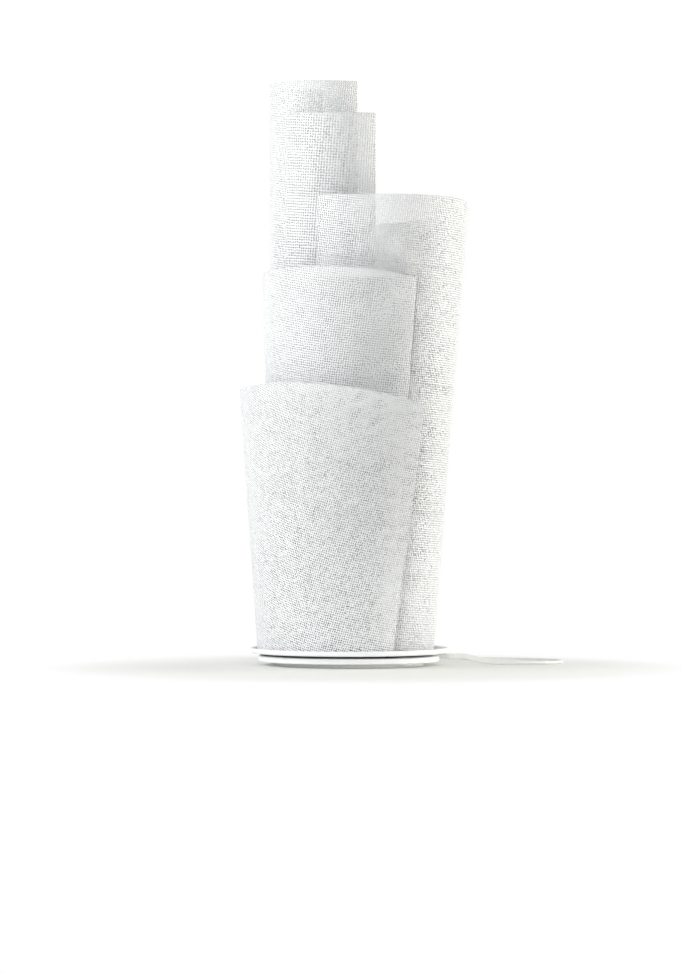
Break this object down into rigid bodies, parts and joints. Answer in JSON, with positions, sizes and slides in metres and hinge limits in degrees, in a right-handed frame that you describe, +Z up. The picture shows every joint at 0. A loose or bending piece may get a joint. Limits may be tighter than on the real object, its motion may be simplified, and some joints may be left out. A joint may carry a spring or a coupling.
{
  "type": "table lamp",
  "caption": "Tall table lamp of bent, perforated white sheets nested round a bulb on a stacked round base, with a flat cord, in-line rocker switch and plug.",
  "frame": {"origin": "centre of the foot pad's underside, on the surface that the lamp stands on", "axes": "+Z up, -Y towards the camera side of the picture, +X to its right, where the cord leaves the base"},
  "size_m": [0.3459, 0.3248, 0.6201],
  "materials": {
    "sheet_white": "matt white powder coat on perforated sheet",
    "base_white": "satin white powder coat",
    "pad_white": "matt, pale",
    "rubber_black": "matt",
    "screw_steel": "zinc plated",
    "holder_white": "moulded, smooth",
    "core_cream": "moulded",
    "bulb_glass": "opal",
    "bulb_metal": "rolled thread",
    "brass": "plain",
    "cord_white": "soft white sheath",
    "core_blue": "plain",
    "core_brown": "plain",
    "switch_white": "fine grained",
    "tie_black": "woven hook-and-loop strip"
  },
  "bodies": {
    "lamp": {"foot_pad": "pad_white", "base_disc": "base_white", "tray": "base_white", "gap_spacer_1": "rubber_black", "gap_spacer_2": "rubber_black", "gap_spacer_3": "rubber_black", "base_screw_1": "screw_steel", "base_screw_2": "screw_steel", "base_screw_3": "screw_steel", "shade_front_low": "sheet_white", "shade_front_middle": "sheet_white", "shade_right": "sheet_white", "shade_inner_middle": "sheet_white", "shade_inner_tall": "sheet_white", "tab_screw_1": "screw_steel", "tab_screw_2": "screw_steel", "tab_screw_3": "screw_steel", "tab_screw_4": "screw_steel", "tab_screw_5": "screw_steel", "tab_screw_6": "screw_steel", "tab_screw_7": "screw_steel", "tab_screw_8": "screw_steel", "tab_screw_9": "screw_steel", "tab_screw_10": "screw_steel", "stem": "base_white", "stem_washer": "screw_steel", "stem_nut_lower": "screw_steel", "stem_nut_upper": "screw_steel", "holder_cap": "holder_white", "holder_shell": "holder_white", "holder_core": "core_cream", "bulb_cap": "bulb_metal", "bulb_contact": "brass", "bulb_globe": "bulb_glass", "cord_sleeve": "cord_white", "inner_flex": "cord_white", "core_blue": "core_blue", "core_brown": "core_brown", "cord_run": "cord_white", "cord_link": "cord_white", "cord_coil": "cord_white", "cord_tail": "cord_white", "coil_tie": "tie_black", "switch_lower": "switch_white", "switch_upper": "switch_white", "switch_screw_1": "screw_steel", "switch_screw_2": "screw_steel", "plug_body": "switch_white", "plug_pin_1": "brass", "plug_pin_2": "brass"},
    "rocker": {"switch_rocker": "switch_white"}
  },
  "joints": [
    {"name": "switch_rock", "type": "hinge", "parent": "lamp", "child": "rocker", "pos_m": [0.036, 0.124, 0.0135], "axis": [0, 1, 0], "range_deg": [0, 16]}
  ]
}
